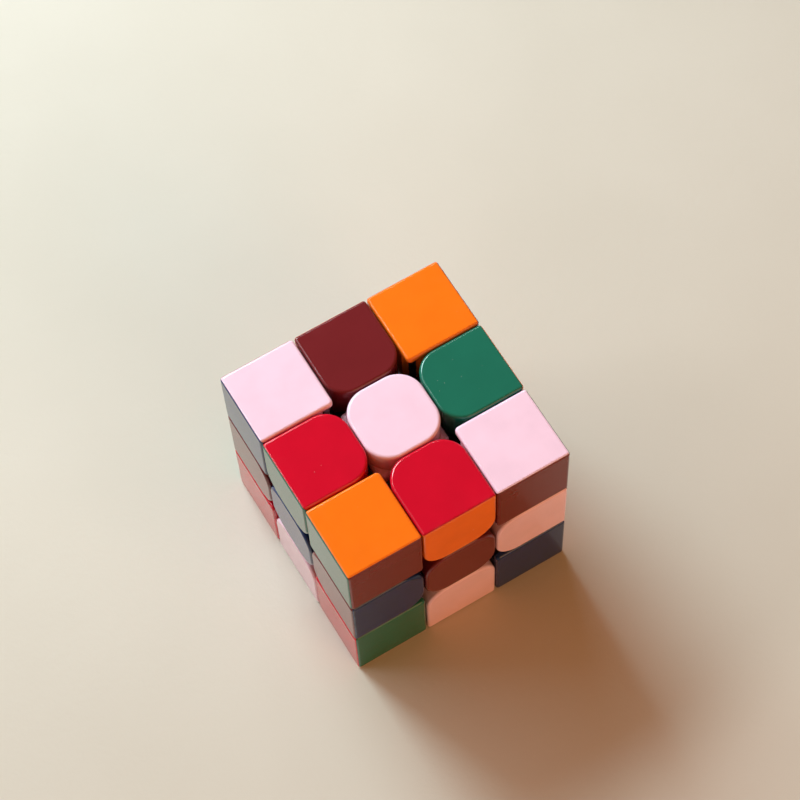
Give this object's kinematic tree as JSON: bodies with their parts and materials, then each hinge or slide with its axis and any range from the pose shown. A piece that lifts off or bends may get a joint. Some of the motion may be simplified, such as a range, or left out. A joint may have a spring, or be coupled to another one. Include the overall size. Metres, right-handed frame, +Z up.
{
  "type": "twisty puzzle cube",
  "caption": "Stickerless twisty puzzle cube, scrambled, with layers that turn about a sprung core.",
  "frame": {"origin": "centre of the cube, at the centre of its core", "axes": "+Z up through the top centre piece, -Y out of the front face, +X out of the right face"},
  "size_m": [0.056, 0.056, 0.056],
  "materials": {
    "pink_plastic": "smooth glossy moulded plastic",
    "orange_plastic": "smooth glossy moulded plastic",
    "red_plastic": "smooth glossy moulded plastic",
    "green_plastic": "smooth glossy moulded plastic",
    "maroon_plastic": "smooth glossy moulded plastic",
    "navy_plastic": "smooth glossy moulded plastic",
    "black_plastic": "satin moulded plastic",
    "screw_steel": "zinc plated",
    "washer_steel": "plain",
    "spring_steel": "drawn wire"
  },
  "bodies": {
    "middle_layer": {"core": "black_plastic", "centre_screws": "screw_steel", "screw_washers": "washer_steel", "side_springs": "spring_steel", "back_right_edge_shells": "pink_plastic", "back_right_edge_body": "black_plastic", "back_left_edge_shells": "green_plastic", "back_left_edge_body": "black_plastic", "front_left_edge_shells": "navy_plastic", "front_left_edge_body": "black_plastic", "front_right_edge_shells": "pink_plastic", "front_right_edge_body": "black_plastic"},
    "top_layer": {"top_back_edge_shells": "maroon_plastic", "top_back_edge_body": "black_plastic", "top_left_edge_shells": "red_plastic", "top_left_edge_body": "black_plastic", "top_front_edge_shells": "red_plastic", "top_front_edge_body": "black_plastic", "top_right_edge_shells": "green_plastic", "top_right_edge_body": "black_plastic", "top_back_right_corner_shells": "orange_plastic", "top_back_right_corner_body": "black_plastic", "top_back_left_corner_shells": "pink_plastic", "top_back_left_corner_body": "black_plastic", "top_front_left_corner_shells": "orange_plastic", "top_front_left_corner_body": "black_plastic", "top_front_right_corner_shells": "pink_plastic", "top_front_right_corner_body": "black_plastic", "top_spring": "spring_steel"},
    "bottom_layer": {"bottom_front_edge_shells": "green_plastic", "bottom_front_edge_body": "black_plastic", "bottom_right_edge_shells": "red_plastic", "bottom_right_edge_body": "black_plastic", "bottom_back_edge_shells": "navy_plastic", "bottom_back_edge_body": "black_plastic", "bottom_left_edge_shells": "navy_plastic", "bottom_left_edge_body": "black_plastic", "bottom_back_right_corner_shells": "maroon_plastic", "bottom_back_right_corner_body": "black_plastic", "bottom_back_left_corner_shells": "orange_plastic", "bottom_back_left_corner_body": "black_plastic", "bottom_front_left_corner_shells": "pink_plastic", "bottom_front_left_corner_body": "black_plastic", "bottom_front_right_corner_shells": "maroon_plastic", "bottom_front_right_corner_body": "black_plastic", "bottom_spring": "spring_steel"},
    "top_centre": {"top_centre_cap": "pink_plastic", "top_centre_base": "black_plastic"},
    "bottom_centre": {"bottom_centre_cap": "orange_plastic", "bottom_centre_base": "black_plastic"},
    "front_centre": {"front_centre_cap": "maroon_plastic", "front_centre_base": "black_plastic"},
    "back_centre": {"back_centre_cap": "red_plastic", "back_centre_base": "black_plastic"},
    "left_centre": {"left_centre_cap": "navy_plastic", "left_centre_base": "black_plastic"},
    "right_centre": {"right_centre_cap": "green_plastic", "right_centre_base": "black_plastic"}
  },
  "joints": [
    {"name": "top_turn", "type": "hinge", "parent": "middle_layer", "child": "top_layer", "pos_m": [0, 0, 0], "axis": [0, 0, 1], "continuous": true},
    {"name": "bottom_turn", "type": "hinge", "parent": "middle_layer", "child": "bottom_layer", "pos_m": [0, 0, 0], "axis": [0, 0, -1], "continuous": true},
    {"name": "top_centre_lift", "type": "slide", "parent": "top_layer", "child": "top_centre", "axis": [0, 0, 1], "range_m": [0, 0.0008], "stiffness_N_per_m": 1000, "springref_m": -0.002, "deforming": ["top_spring"]},
    {"name": "bottom_centre_lift", "type": "slide", "parent": "bottom_layer", "child": "bottom_centre", "axis": [0, 0, -1], "range_m": [0, 0.0008], "stiffness_N_per_m": 1000, "springref_m": -0.002, "deforming": ["bottom_spring"]},
    {"name": "front_centre_lift", "type": "slide", "parent": "middle_layer", "child": "front_centre", "axis": [0, -1, 0], "range_m": [0, 0.0008], "stiffness_N_per_m": 1000, "springref_m": -0.002, "deforming": ["side_springs"]},
    {"name": "back_centre_lift", "type": "slide", "parent": "middle_layer", "child": "back_centre", "axis": [0, 1, 0], "range_m": [0, 0.0008], "stiffness_N_per_m": 1000, "springref_m": -0.002, "deforming": ["side_springs"]},
    {"name": "left_centre_lift", "type": "slide", "parent": "middle_layer", "child": "left_centre", "axis": [-1, 0, 0], "range_m": [0, 0.0008], "stiffness_N_per_m": 1000, "springref_m": -0.002, "deforming": ["side_springs"]},
    {"name": "right_centre_lift", "type": "slide", "parent": "middle_layer", "child": "right_centre", "axis": [1, 0, 0], "range_m": [0, 0.0008], "stiffness_N_per_m": 1000, "springref_m": -0.002, "deforming": ["side_springs"]}
  ]
}
